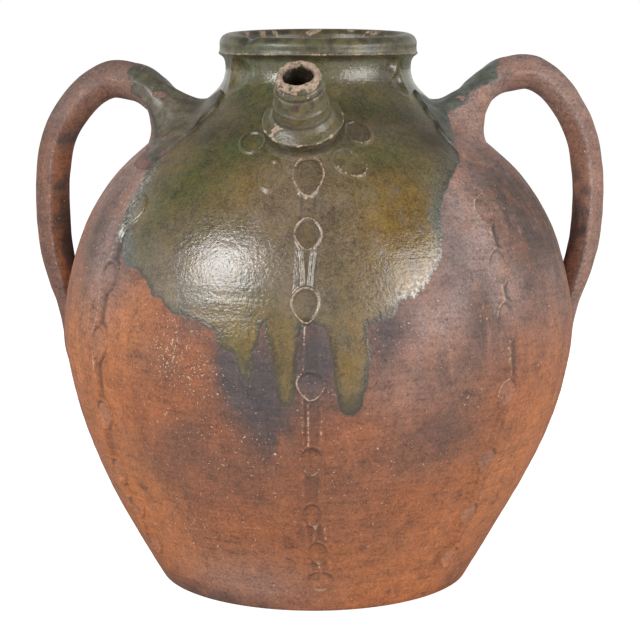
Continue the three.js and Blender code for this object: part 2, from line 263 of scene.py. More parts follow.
# Patches of colour, each as angle from the front, height, half width, half height and strength.
# Where smoke darkened the bare clay, and where it fired orange; at the left edge and round the foot
# the orange patches also brighten the clay as painted light.
SMOKE = [
    (-13, 186, 24, 40, 1), (-9, 162, 16, 28, 0.6), (-17, 122, 60, 24, 0.2), (-43, 5, 60, 10, 0.8),
    (54, 290, 30, 66, 1), (70, 290, 34, 66, 1), (-40, 118, 30, 14, 0.3), (28, 150, 28, 24, 0.7),
    (0, 208, 14, 30, 0.9), (-30, 140, 34, 20, 0.35), (150, 200, 60, 40, 0.6), (-150, 190, 60, 50, 0.6),
    (-65, 282, 24, 55, 0.8), (90, 300, 50, 50, 0.5), (26, 196, 24, 20, 0.7), (36, 234, 15, 26, 0.8),
    (-38, 196, 24, 20, 0.35), (-12, 140, 20, 22, 0.25), (14, 132, 50, 26, 0.25), (-22, 45, 50, 30, 0.2),
    (38, 205, 22, 30, 0.5), (-20, 105, 50, 22, 0.25),
]
BLUSH_AND_PAINTED_LIGHT = [
    (-45, 215, 36, 40, 0.8), (-52, 160, 30, 30, 0.4), (-14, 64, 60, 40, 0.25), (18, 122, 70, 40, 0.1),
    (58, 165, 40, 60, 0.3), (-66, 200, 26, 60, 1), (37, 40, 70, 50, 0.5), (-40, 34, 50, 24, 0.75),
    (0, 30, 90, 24, 0.4), (120, 120, 110, 60, 0.7), (-120, 130, 110, 60, 0.7), (180, 90, 110, 60, 0.7),
    (54, 100, 50, 60, 0.65), (-52, 85, 44, 50, 1), (30, 8, 60, 16, 0.6), (64, 220, 20, 40, 0.3),
]
# Grey bloom on the clay, and the same patches as a pale haze over the glaze, partly painted reflection.
BLOOM_AND_REFLECTION = [
    (36, 290, 22, 60, 1), (40, 256, 44, 34, 1), (52, 236, 40, 50, 0.15), (-56, 285, 36, 60, 1),
    (21, 190, 44, 30, 0.5), (95, 280, 70, 60, 0.8), (-95, 280, 70, 60, 0.8), (66, 290, 40, 70, 1),
    (-8, 298, 84, 56, 0.5), (-4, 335, 46, 30, 0.7), (-8, 397, 90, 12, 0.8), (-22, 24, 50, 24, 0.6),
    (54, 322, 32, 26, 0.8), (23, 232, 26, 22, 0.8), (13, 285, 44, 34, 0.45), (180, 300, 110, 60, 0.8),
    (72, 345, 40, 50, 0.9), (-78, 345, 40, 50, 0.9), (-64, 305, 34, 50, 0.8),
]
# Where the glaze pooled amber or green.
AMBER = [
    (24, 298, 36, 42, 1), (7, 204, 20, 32, 1), (-16, 222, 36, 20, 1), (20, 262, 40, 24, 0.8),
    (-20, 322, 26, 22, 0.4), (14, 295, 20, 30, 0.3), (-7, 190, 10, 24, 0.5), (150, 280, 80, 60, 0.6),
    (-150, 270, 80, 50, 0.6),
]
GREEN = [
    (-28, 345, 40, 24, 0.9), (-38, 318, 30, 24, 0.8), (24, 340, 40, 20, 0.9), (-44, 275, 16, 30, 0.6),
    (-10, 412, 130, 14, 0.7), (-40, 385, 50, 20, 0.6), (32, 372, 46, 16, 0.9), (-16, 190, 10, 16, 0.9),
    (180, 330, 120, 40, 0.7), (90, 390, 40, 40, 1), (-26, 372, 30, 14, 0.6), (6.5, 174, 12, 12, 0.5),
    (-17, 217, 18, 16, 0.6),
]
# Where the clay beside the glaze took up its metal and fired purple-grey.
HALO = [
    (-13, 190, 26, 40, 1), (0, 206, 20, 40, 1), (14, 224, 21, 36, 1), (32, 284, 14, 40, 0.5),
    (27, 252, 24, 24, 0.4), (-27, 229, 14, 12, 0.7), (-17.5, 203, 12, 26, 1), (-50, 278, 18, 36, 0.7),
    (150, 235, 70, 40, 0.9), (-155, 230, 70, 40, 0.9), (-12, 160, 20, 22, 0.3),
]
# Where the thin glaze at its border fired grey-green.
TEAL = [
    (-50, 270, 16, 40, 1), (-56, 318, 24, 36, 1), (31, 290, 14, 50, 1), (46, 338, 34, 24, 0.6),
    (-16, 188, 12, 12, 0.2), (80, 352, 60, 30, 1), (-85, 352, 60, 30, 1), (150, 220, 60, 40, 0.8),
    (-160, 210, 60, 40, 0.8),
]
# Where a pale crust lies on the thin glaze along its border; on the right, below the highlight, the pale
# specks are partly painted highlight.
CRUST_AND_GLINTS = [(21, 250, 26, 14, 1), (27, 268, 12, 18, 0.8), (-52, 286, 10, 26, 0.6), (-56, 318, 10, 20, 0.7)]
# Where scraps of lime lie thick in the clay.
LIME = [
    (-25, 206, 26, 20, 0.6), (-31, 208, 30, 24, 0.8), (-26, 165, 60, 40, 0.3), (-10, 128, 60, 40, 0.25),
    (22, 130, 70, 60, 0.15), (48, 285, 40, 50, 0.4), (-56, 300, 30, 50, 0.5), (-36, 70, 70, 40, 0.35),
    (18, 235, 24, 18, 0.3), (90, 200, 90, 80, 0.5), (-90, 200, 90, 80, 0.5), (150, 150, 90, 70, 0.5),
    (-150, 150, 90, 70, 0.5),
]
# Where the clay darkens beside the roots of the handles, partly dirt and partly painted shade under the roots,
# and where dirt has settled on the longest tongue.
SOIL_AND_SHADE = [
    (43, 350, 24, 18, 0.75), (37, 367, 30, 12, 0.45), (-47, 354, 24, 14, 0.35), (6.6, 172, 10, 9, 0.5),
    (46, 392, 16, 24, 0.4),
]


def glaze_depth(angle, z):
    """How far inside the glaze's border each point lies, in mm; below 0 on bare clay."""
    run, radius = run_at(z), radius_at(z)
    nearest = np.full(len(z), 1e9)
    inside = np.ones(len(z), bool)
    for (a0, z0), (a1, z1) in zip(GLAZE_BORDER, GLAZE_BORDER[1:]):
        x0, x1 = (np.radians(a0) - angle) * radius, (np.radians(a1) - angle) * radius
        y0, y1 = run_at(z0) - run, run_at(z1) - run
        dx, dy = x1 - x0, y1 - y0
        t = np.clip(-(x0 * dx + y0 * dy) / (dx * dx + dy * dy), 0, 1)
        nearest = np.minimum(nearest, np.hypot(x0 + t * dx, y0 + t * dy))
        spans = (x0 <= 0) != (x1 <= 0)
        inside ^= spans & (y0 - x0 * dy / np.where(spans, dx, 1) > 0)
    return np.where(inside, nearest, -nearest)


def tint(blots, angle, z):
    """Soft patches on the wall, summed, from 0 to 1."""
    total = np.zeros(len(z))
    for blot_angle, height, half_width, half_height, strength in blots:
        off = (angle - math.radians(blot_angle)) * radius_at(z)
        up = run_at(z) - run_at(height)
        total += strength * np.exp(-((off / half_width) ** 2) - (up / half_height) ** 2)
    return np.clip(total, 0, 1)


def finish(bm, glaze=None, tones=None, wear_and_highlight=0, grime_and_shade=0, veil=0, marks=None, matt=0):
    """Gives each vertex its glaze depth, tones, wear and painted highlight, pools, grime and painted shade,
    marks, dullness.
    """
    x, y, z = coords(bm).T
    z = np.clip(z, WALL_LOW, WALL_TOP)
    angle = np.arctan2(x - lean(z), -y)
    nothing = np.zeros(len(z))
    if glaze is None:
        glaze = glaze_depth(angle, z)
    if tones is None:
        tones = [tint(blots, angle, z) for blots in (SMOKE, BLUSH_AND_PAINTED_LIGHT, BLOOM_AND_REFLECTION)]
    if marks is None:
        marks = [tint(blots, angle, z) for blots in (TEAL, LIME, CRUST_AND_GLINTS)]
    smoke, blush, bloom, teal, lime, crust_and_glints = (value + nothing for value in (*tones, *marks))
    tones = [smoke, blush, np.maximum(bloom, veil), wear_and_highlight + nothing]
    pools = [*(tint(blots, angle, z) for blots in (AMBER, GREEN, HALO)), grime_and_shade + nothing]
    marks = [teal, lime, matt + nothing, crust_and_glints]
    layers = [
        bm.verts.layers.float.new("glaze"),
        *(bm.verts.layers.float_color.new(name) for name in ("tones", "pools", "marks")),
    ]
    for v, *values in zip(bm.verts, glaze, *map(np.column_stack, (tones, pools, marks))):
        for layer, value in zip(layers, values):
            v[layer] = value


def linked(name, data):
    """A new object in the scene, at the origin."""
    thing = bpy.data.objects.new(name, data)
    bpy.context.scene.collection.objects.link(thing)
    return thing


def to_object(bm, name, material):
    """Turns a mesh into a smooth piece at the origin."""
    for face in bm.faces:
        face.smooth = True
    mesh = bpy.data.meshes.new(name)
    bm.to_mesh(mesh)
    bm.free()
    mesh.materials.append(material)
    return linked(name, mesh)


def paint(colour):
    """An sRGB hex colour as linear red, green, blue and alpha."""
    parts = [int(colour[i:i + 2], 16) / 255 for i in (1, 3, 5)]
    return (*(c / 12.92 if c <= 0.04045 else ((c + 0.055) / 1.055) ** 2.4 for c in parts), 1)


def add(tree, kind, inputs, **settings):
    """Adds one shader node, fills its sockets with values or links, and returns its outputs."""
    node = tree.nodes.new("ShaderNode" + kind)
    for name, value in settings.items():
        setattr(node, name, value)
    for socket, value in inputs.items():
        if isinstance(value, bpy.types.NodeSocket):
            tree.links.new(value, node.inputs[socket])
        else:
            node.inputs[socket].default_value = value
    return node.outputs


# Lead-glazed red earthenware: a coarse open body that fires orange, browns and purples in the smoke and
# holds scraps of lime, under a runny olive glaze that pools green and amber and dries dark at its border.
# Where it is rubbed or chipped it shows pale pinkish clay.
CLAY_COLOUR, GLAZE_COLOUR = "#945530", "#564c2e"
# Grime paints real dirt, and painted shade in creases, grooves, cups and under the handle roots.
LIME_COLOUR, BARED_COLOUR, GRIME_AND_SHADE_COLOUR = "#cbb69f", "#a88f7a", "#2b231d"
CLAY_ROUGH, BARED_ROUGH, MATT_ROUGH = 0.75, 0.65, 0.55
GLAZE_SLEEK, GLAZE_ROUGH = 0.12, 0.25
GLAZE_IOR = 1.66
# How far the glaze stands above the clay at its border, in mm.
GLAZE_STAND = 0.28
# How far patterns are drawn out round the jar, down it and aslant.
DRAWN_ROUND, DRAWN_DOWN, DRAWN_ASLANT = (0.12, 0.12, 1), (1, 1, 0.2), (1, 1, 0.3)
SLANT = math.radians(-35)
PATTERN_ROUGH = 0.6

earthenware = bpy.data.materials.new("lead_glazed_red_earthenware")
earthenware.use_nodes = True
tree = earthenware.node_tree
tree.nodes.clear()
spot = add(tree, "TexCoord", {})["Object"]
around = add(tree, "Mapping", {"Vector": spot, "Scale": DRAWN_ROUND})[0]
downwards = add(tree, "Mapping", {"Vector": spot, "Scale": DRAWN_DOWN})[0]
aslant = add(tree, "Mapping", {"Vector": spot, "Rotation": (0, SLANT, 0), "Scale": DRAWN_ASLANT})[0]
# Fields that the vertices carry, as red, green, blue and alpha of three layers.
fields = {"depth": add(tree, "Attribute", {}, attribute_name="glaze")["Fac"]}
for layer, *names in (
    ("tones", "smoke", "blush", "bloom", "wear_and_highlight"), ("pools", "amber", "green", "taken", "grime_and_shade"),
    ("marks", "teal", "limy", "matt", "crust_and_glints"),
):
    held = add(tree, "Attribute", {}, attribute_name=layer)
    fields.update(zip(names, [*add(tree, "SeparateColor", {0: held["Color"]}), held["Alpha"]]))
# Patterns: the size of one patch in mm, detail and distortion.
for name, vector, size, detail, twist in (
    ("cloud", spot, 70, 3, 0), ("stain", spot, 28, 5, 0), ("mottle", spot, 12, 4, 0),
    ("smears", aslant, 16, 5, 0), ("grain", spot, 2.2, 3, 0), ("grit", spot, 0.9, 2, 0),
    ("fleck", spot, 4, 3, 0.4), ("wiping", around, 3, 4, 0), ("runs", downwards, 8, 4, 0),
    ("streaks", downwards, 15, 4, 0), ("ragged", spot, 8, 4, 0), ("skin", spot, 4.5, 3, 0),
    ("lime", spot, 1.8, 1, 0.5), ("spread", spot, 38, 3, 0),
):
    fields[name] = add(tree, "TexNoise", {
        "Vector": vector, "Scale": 1 / (size * MM), "Detail": detail, "Roughness": PATTERN_ROUGH,
        "Distortion": twist,
    })[0]
# Sums: a number or field, and the fields that are added to it with their weights.
for name, total, parts in (
    ("edge", -5, [("ragged", 7), ("grain", 3), ("depth", 1)]),
    ("specked", "lime", [("limy", 0.12)]),
    ("rubbed_and_highlit", "wear_and_highlight", [("grain", 0.8), ("mottle", 0.5)]),
    ("clay_shade", -2.07, [
        ("streaks", 0.5), ("grain", 1.4), ("grit", 1.6), ("fleck", 0.6), ("wiping", 1), ("mottle", 1),
    ]),
    ("flecked", -0.08, [("smoke", 0.16), ("fleck", 1)]),
    ("glaze_shade", -1.95, [("grain", 1.1), ("grit", 1.8), ("fleck", 0.8), ("runs", 0.9), ("stain", 1.3)]),
    ("clay_relief", 0.0, [("grain", 0.5), ("wiping", 0.3), ("mottle", 0.8)]),
    ("glaze_relief", 0.3, [("skin", 0.26), ("grain", 0.3), ("wiping", 0.2)]),
    ("bare_shade", -0.5, [("grain", 1.5), ("grit", 1.5)]),
):
    total = fields.get(total, total)
    for source, weight in parts:
        total = add(tree, "Math", {0: fields[source], 1: weight, 2: total}, operation="MULTIPLY_ADD")[0]
    fields[name] = total
# Masks: none where a field has the first value, full at the second, and soft between.
for name, source, low, high in (
    ("glazed", "edge", -0.7, 0.7), ("near", "edge", -46, -8), ("border", "edge", 6, 0.5),
    ("brim", "edge", -1, 2), ("worn", "rubbed_and_highlit", 0.92, 1.1), ("brown", "cloud", 0.42, 0.66),
    ("patchy", "stain", 0.14, 0.42), ("smeared", "smears", 0.22, 0.46), ("dappled", "mottle", 0.2, 0.46),
    ("wiped", "wiping", 0.52, 0.72), ("limed", "specked", 0.74, 0.78), ("pooled", "streaks", 0.3, 0.52),
    ("strewn", "spread", 0.3, 0.5), ("streaky", "streaks", 0.5, 0.64), ("run", "runs", 0.48, 0.66),
    ("dull", "cloud", 0.46, 0.6), ("fringe", "edge", 18, 5), ("pit", "grain", 0.37, 0.27),
    ("hole", "skin", 0.31, 0.25), ("coarse", "grain", 0.44, 0.6), ("flecks", "flecked", 0.58, 0.66),
    ("drawn", "streaks", 0.46, 0.62),
):
    fields[name] = add(
        tree, "MapRange", {0: fields[source], 1: low, 2: high}, interpolation_type="SMOOTHSTEP",
    )[0]
# Masks that hold only where two fields meet.
for name, first, second in (
    ("halo", "taken", "near"), ("teal", "teal", "fringe"), ("crust_and_glints", "crust_and_glints", "fringe"),
    ("crust_and_glints", "crust_and_glints", "coarse"), ("blush", "blush", "dappled"), ("haze", "bloom", "dappled"),
    ("bloom", "bloom", "patchy"), ("smoke", "smoke", "smeared"), ("lime", "limed", "strewn"),
    ("border", "border", "patchy"), ("streak", "bloom", "streaky"), ("amber", "amber", "pooled"),
    ("green", "green", "patchy"),
):
    fields[name] = add(tree, "Math", {0: fields[first], 1: fields[second]}, operation="MULTIPLY")[0]
# Colours laid over clay and glaze, as mask, share and colour, and then the shade of each coat.
# A Mix takes numbers at its sockets 2 and 3, and colours at 6 and 7.
coats = []
for base, shade, layers in (
    (CLAY_COLOUR, "clay_shade", [
        ("brown", 0.7, "#7a4d35"), ("blush", 1, "#b06a38"), ("bloom", 0.95, "#988078"),
        ("smoke", 1, "#523f38"), ("streak", 0.25, "#a3683f"), ("halo", 0.95, "#473f40"),
        ("flecks", 0.2, "#563c34"), ("wiped", 0.2, "#6f4530"), ("pit", 0.3, "#47332a"),
    ]),
    # Over the glaze, haze is a pale veil that is partly painted reflection.
    (GLAZE_COLOUR, "glaze_shade", [
        ("haze", 0.85, "#80705a"), ("dull", 0.45, "#746458"), ("green", 0.8, "#454f27"),
        ("drawn", 0.4, "#64553c"), ("run", 0.4, "#645126"), ("amber", 0.7, "#785a16"),
        ("border", 0.8, "#38332b"), ("teal", 0.9, "#5d635c"), ("crust_and_glints", 0.7, "#b9ab9c"),
        ("pit", 0.25, "#2b2416"), ("hole", 0.5, "#1f180f"),
    ]),
    (BARED_COLOUR, "bare_shade", []),
):
    coat = paint(base)
    for mask, share, colour in layers:
        amount = add(tree, "Math", {0: fields[mask], 1: share}, operation="MULTIPLY")[0]
        coat = add(tree, "Mix", {0: amount, 6: coat, 7: paint(colour)}, data_type="RGBA")[2]
    shaded = {0: 1.0, 6: coat, 7: fields[shade]}
    coats.append(add(tree, "Mix", shaded, data_type="RGBA", blend_type="MULTIPLY")[2])
colour, glaze_coat, bared = coats
# Bare clay shows where glaze is worn and as painted highlight on lit rims; grime adds dirt and painted shade.
for mask, coat in (
    ("lime", paint(LIME_COLOUR)), ("glazed", glaze_coat), ("worn", bared), ("grime_and_shade", paint(GRIME_AND_SHADE_COLOUR)),
):
    colour = add(tree, "Mix", {0: fields[mask], 6: colour, 7: coat}, data_type="RGBA")[2]
relief = add(tree, "Mix", {0: fields["glazed"], 2: fields["clay_relief"], 3: fields["glaze_relief"]})[0]
relief = add(tree, "Math", {0: fields["brim"], 1: GLAZE_STAND, 2: relief}, operation="MULTIPLY_ADD")[0]
bump = add(tree, "Bump", {"Height": relief, "Distance": MM, "Strength": 1.0})[0]
gloss = add(tree, "MapRange", {0: fields["mottle"], 1: 0.3, 2: 0.7, 3: GLAZE_SLEEK, 4: GLAZE_ROUGH})[0]
gloss = add(tree, "Mix", {0: fields["matt"], 2: gloss, 3: MATT_ROUGH})[0]
rough = add(tree, "Mix", {0: fields["glazed"], 2: CLAY_ROUGH, 3: gloss})[0]
rough = add(tree, "Mix", {0: fields["worn"], 2: rough, 3: BARED_ROUGH})[0]
shader = add(tree, "BsdfPrincipled", {
    "Base Color": colour, "Roughness": rough, "Normal": bump, "IOR": GLAZE_IOR,
})[0]
add(tree, "OutputMaterial", {0: shader})

# The rim is dull and dirty; its ridge and parts of the lip's inner edge are rubbed to bare clay.
RIM_RIDGE_AT, RIM_RIDGE_HALF, RIM_RIDGE_OUT = 411.4, 0.8, (74, 76)
LIP_IN, LIP_UP = (70, 66), (419, 422)
RIM_SOILED, RIM_DULLED = (403, 407), (406, 410)
SCUFF_SIZE = 9
points = coords(bm)
x, y, z = points.T
out = np.hypot(x - LEAN, y)
scuffs = ripple(points, SCUFF_SIZE)
ridge = bell(z, RIM_RIDGE_AT, RIM_RIDGE_HALF) * ease(*RIM_RIDGE_OUT, out)
inner_lip = ease(*LIP_IN, out) * ease(*LIP_UP, z) * ease(0.15, 0.3, scuffs)
# Grime: dirt on the rim and tongue, and dirt with painted shade beside the handle roots.
soil = np.maximum(
    tint(SOIL_AND_SHADE, np.arctan2(x - lean(z), -y), np.clip(z, WALL_LOW, WALL_TOP)),
    ease(*RIM_SOILED, z) * (0.15 + 0.5 * ease(0.1, -0.3, scuffs)),
)
finish(bm, wear_and_highlight=0.5 * ridge + 0.45 * inner_lip, grime_and_shade=soil, matt=0.5 * ease(*RIM_DULLED, z))
vessel = to_object(bm, "vessel", earthenware)
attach(vessel, "root")
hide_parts("lower_body", "belly_wall", "shoulder", "neck_and_rim")


# Spout: a small turned tube with a spreading collar, luted square to the shoulder over its hole.
# Two fine grooves ring the tube, and its worn mouth has lost the glaze down to pale clay.
COLLAR_STAND = 9
SPOUT_OUTLINE = [
    (21.5, -26), (24, -12), (27.6, -4.5), (28.8, -1.4), (29.7, 0), (29.3, 1.2), (26.6, 2.8), (23.8, 4.6),
    (21.8, 7.2), (21.2, 8.2), (21, 9.2), (20.3, 12), (20, 16), (20.3, 17.2), (19.9, 18.2), (18.9, 19),
    (18.5, 22), (18.2, 29), (17.1, 30.4), (17.7, 31.8), (17.3, 34.4), (16.1, 35.8), (16.5, 37.2), (15.8, 40.6),
    (15, 42.4), (13.8, 43), (12.2, 42.2), (11.1, 40), (11, 30), (11, 0), (11, -26),
]
SPOUT_STEP, SPOUT_STEPS = 0.9, 96
# Lumps all over the outside and a ragged mouth: their size and depth.
LUMP_SIZE, LUMP_DEPTH, SPOUT_OUTSIDE = 9, 0.5, (12.5, 15)
CHIP_SIZE, CHIP_DEPTH, MOUTH_CHIPPED, MOUTH_OUTSIDE = 4, 0.9, (36, 42), (10, 13)
# Sizes of patches in the coat and of pits in the bare mouth.
COAT_PATCH, FINE_PATCH, MOUTH_PIT = 5, 1.8, 2.2
# Where the coat is lost, by height above the collar's edge or distance from the axis.
MOUTH_WORN, TUBE_BARED, BORE_EDGE = (35, 41), (19, 22), (10.6, 11.6)
COLLAR_EDGE, COLLAR_UNDER = (27.8, 29), -3
CHIP_X, CHIP_Y, CHIP_EDGE, CHIP_FROM, CHIP_TO = -20, -14, (5, 2.5), (0, 1), (9, 6)
# Painted shade under the collar, at the tube's foot, in its step and grooves, and down its bore; real dirt in
# the pits of the worn mouth.
COLLAR_SHADE, TUBE_SHADE, TUBE_SHADE_OUT, SHADE_HALF = -1.6, 9, (22.5, 21.5), 0.8
SPOUT_GROOVES, GROOVE_HALF, GROOVE_OUT, BORE_SHADE = (18.6, 30.4, 35.8), 0.6, 14, (42, 37)
SPOUT_HAZE, COAT_DEPTH, COAT_LOST = (9, 14), 12, 13
bm = turned(paced(SPOUT_OUTLINE, SPOUT_STEP), SPOUT_STEPS, closed=True)
bmesh.ops.recalc_face_normals(bm, faces=bm.faces)
points = coords(bm)
x, y, along = points.T.copy()
out = np.hypot(x, y)
lumps = ripple(points, LUMP_SIZE, noise.noise_vector)
chips = ripple(points, CHIP_SIZE, noise.noise_vector)
lumpy = LUMP_DEPTH * ease(*SPOUT_OUTSIDE, out)
ragged = CHIP_DEPTH * ease(*MOUTH_CHIPPED, along) * ease(*MOUTH_OUTSIDE, out)
points += lumps * lumpy[:, None] + chips * ragged[:, None]
patches = ripple(points, COAT_PATCH) + 0.5 * ripple(points, FINE_PATCH)
pits = ripple(points, MOUTH_PIT)
x, y = points.T[:2]
out = np.hypot(x, y)
turn = Vector((0, 0, 1)).rotation_difference(spout_axis).to_matrix()
place(bm, [turn @ Vector(p + (0, 0, COLLAR_STAND)) + seat for p in points])
worn = ease(*MOUTH_WORN, along + 10 * patches) * ease(*BORE_EDGE, out)
chipped = ease(0.15, 0.4, patches) * ease(*COLLAR_EDGE, out) * (along > COLLAR_UNDER)
from_chip = np.hypot(x - CHIP_X, y - CHIP_Y) + 5 * patches
chipped = np.maximum(chipped, ease(*CHIP_EDGE, from_chip) * ease(*CHIP_FROM, along) * ease(*CHIP_TO, along))
shade_and_dirt = 0.7 * bell(along, COLLAR_SHADE, SHADE_HALF)
shade_and_dirt += 0.8 * bell(along, TUBE_SHADE, SHADE_HALF) * ease(*TUBE_SHADE_OUT, out)
for groove in SPOUT_GROOVES:
    shade_and_dirt = np.maximum(shade_and_dirt, 0.6 * bell(along, groove, GROOVE_HALF) * (out > GROOVE_OUT))
shade_and_dirt = np.maximum(shade_and_dirt, 0.7 * worn * ease(0.15, 0.4, pits))
shade_and_dirt = np.where(out > BORE_EDGE[1], shade_and_dirt, 0.85 * ease(*BORE_SHADE, along))
haze = ease(*SPOUT_HAZE, along) * ease(0.2, -0.3, patches)
coat = COAT_DEPTH - COAT_LOST * ease(-0.15, 0.3, patches) * ease(*TUBE_BARED, along)
finish(
    bm, coat, [0.95, 0, 0.4 * haze], wear_and_highlight=np.maximum(0.8 * worn, 0.7 * chipped), grime_and_shade=shade_and_dirt,
    marks=(0, 0, 0), matt=0.5,
)
spout = to_object(bm, "turned_spout", earthenware)
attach(spout, "root")
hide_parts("spout")


# Luting round the spout: soft clay dragged out over the shoulder with the thumb, to hold the collar.
# Each drag left a shallow dent with a thin raised edge, and the glaze covers them all.
LUTING_INNER, LUTING_OUTER = 18, 72
# The upper edge stops short of the wall's top, where its rings would fall together.
LUTING_TOP = 392
LUTING_SPOKES, LUTING_RINGS = 360, 64
PAD_FLAT, PAD_REACH, PAD_HEIGHT = 24, 38, 3
# Luting and strips run out just under the wall's face and are backed inside it.
SUNK, BACKING = 0.6, 3
# Drags: angle from the front and height of the middle, width, length, and turn in degrees.
DRAGS = [
    (-22.8, 349.5, 18, 22, 30), (-13.4, 328.5, 14, 27, 4), (9.2, 336.5, 20, 29, 28), (14.4, 356, 18, 24, 12),
]
# Clay left in a drag, the bank round it, and the thin edge between them.
DRAG_FLOOR, DRAG_FLAT = 0.2, 0.72
DRAG_BANK, BANK_END = 1.4, 1.5
DRAG_EDGE, DRAG_EDGE_AT, DRAG_EDGE_WIDTH = 0.55, 1.02, 0.09
# Painted shade at the collar's foot, and inside the upper edge of a drag.
COLLAR_FOOT = (31, 29.5)
DRAG_SHADE_AT, DRAG_SHADE_WIDTH = 0.88, 0.07
SEAM_FROM = 0.999


def slab(columns, rows):
    """A flat grid from -1 to 1 with its face raised by 1."""
    bm = bmesh.new()
    bmesh.ops.create_grid(bm, x_segments=columns, y_segments=rows, size=1)
    raised = bmesh.ops.extrude_face_region(bm, geom=bm.faces[:])["geom"]
    bmesh.ops.translate(bm, verts=[v for v in raised if isinstance(v, bmesh.types.BMVert)], vec=(0, 0, 1))
    return bm


bm = slab(LUTING_SPOKES, LUTING_RINGS)
# The grid's two ends meet when it closes round the spout, so the walls between them come out.
seam = [f for f in bm.faces if all(abs(v.co.x) > SEAM_FROM for v in f.verts)]
bmesh.ops.delete(bm, geom=seam, context="FACES")
flat = np.array([v.co for v in bm.verts])
bearing = flat[:, 0] * math.pi
climb = run_at(LUTING_TOP) - run_at(SPOUT_HEIGHT)
reach = np.minimum(LUTING_OUTER, climb / np.maximum(-np.cos(bearing), 0.01))
out = LUTING_INNER + (flat[:, 1] + 1) / 2 * (reach - LUTING_INNER)
run = run_at(SPOUT_HEIGHT) - out * np.cos(bearing)
z = height_at(run)
angle = SPOUT_ANGLE + out * np.sin(bearing) / radius_at(z)
lift = PAD_HEIGHT * (1 - ease(PAD_FLAT, PAD_REACH, out)) - SUNK
rubbed_and_highlit, shade_and_dirt = np.zeros(len(z)), 0.5 * ease(*COLLAR_FOOT, out)
for drag_angle, height, width, length, turn in DRAGS:
    off = (angle - math.radians(drag_angle)) * radius_at(z)
    up = run - run_at(height)
    lean_sin, lean_cos = math.sin(math.radians(turn)), math.cos(math.radians(turn))
    away = np.hypot(
        (off * lean_cos + up * lean_sin) / (width / 2), (up * lean_cos - off * lean_sin) / (length / 2),
    )
    edge = bell(away, DRAG_EDGE_AT, DRAG_EDGE_WIDTH)
    dent = 1 - ease(DRAG_FLAT, 1, away)
    bank = DRAG_BANK * (1 - ease(1, BANK_END, away))
    lift = np.maximum(lift, bank - SUNK) * (1 - dent) + (DRAG_FLOOR - SUNK) * dent
    lift += DRAG_EDGE * edge
    # The lower side of each drag's edge is rubbed pale, partly as a painted glint.
    rubbed_and_highlit = np.maximum(rubbed_and_highlit, 0.34 * edge * ease(4, -6, up))
    shade_and_dirt = np.maximum(shade_and_dirt, 0.5 * bell(away, DRAG_SHADE_AT, DRAG_SHADE_WIDTH) * ease(0, 6, up))
place(bm, wall(angle, z, np.where(flat[:, 2] > 0.5, lift, -BACKING)))
finish(bm, wear_and_highlight=rubbed_and_highlit, grime_and_shade=shade_and_dirt, matt=0.35)
sew(bm)
luting = to_object(bm, "thumbed_luting", earthenware)
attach(luting, "root")
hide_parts("spout_luting")


# Strap handles: pulled from wet clay, flattened oval with a soft ridge along the front and back edges.
# The upper end is luted to shoulder and throat in a thumbed apron, the lower end is smeared down the belly.
HANDLE_STATIONS = [
    (143, 389, 29.6, 42), (160, 391, 29, 41), (177, 382.5, 27.4, 40), (192, 366, 26.6, 40),
    (203, 345, 26.4, 39), (208, 318, 26.3, 38), (208.6, 290, 26, 37), (207.4, 265, 25.5, 37),
    (203, 241, 24, 37), (198, 219, 20, 35), (196.4, 197, 13.5, 30), (196, 176, 9.6, 22), (192, 158, 5, 12),
]
HANDLE_SIDES, HANDLE_STEPS = 96, 8
# Heights over which a strap is widened and raised.
OUT_OVER, RISE_OVER = (200, 300), (335, 392)
RIDGE = 0.42
ROOT_HEIGHT = 362
# How far the root spreads before it rises, by bearing from straight up, in front and behind.
ROOT_BEARINGS = [0, 42, 71, 91, 108, 116, 124, 138, 155, 180]
FRONT_REACHES = [20, 31, 42, 50, 57, 59, 60, 50, 37, 27]
BACK_REACHES = [20, 21, 27, 34, 40, 44, 46, 42, 36, 27]
# The root's edge is a thin, ragged ledge on both flanks, between these bearings.
LEDGE_RISE, LEDGE_FALL = (28, 50), (142, 128)
ROOT_EDGE, EDGE_SUNK = 2.2, 0.3
RAGGED = 0.1
# Rows of the smear and of the rise to the strap, and the root's back, buried in the wall.
SMEAR_ROWS, ROOT_ROWS, SMEAR_RISE = 8, 40, 0.5
BURIED_SHARES, BURIED_DEPTH = (0, 0.35, 0.7, 1), 4
# The rise starts by the slope between two rings on the wall, and never dips into it.
SLOPE_SHARE, SLOPE_RISE, SLOPE_LEDGE = 0.2, 0.7, 0.9
CLEAR_LEDGE, CLEAR_SUNK = 1.6, 0.4
LONGEST_PULL, TOP_PULL = 64, 70


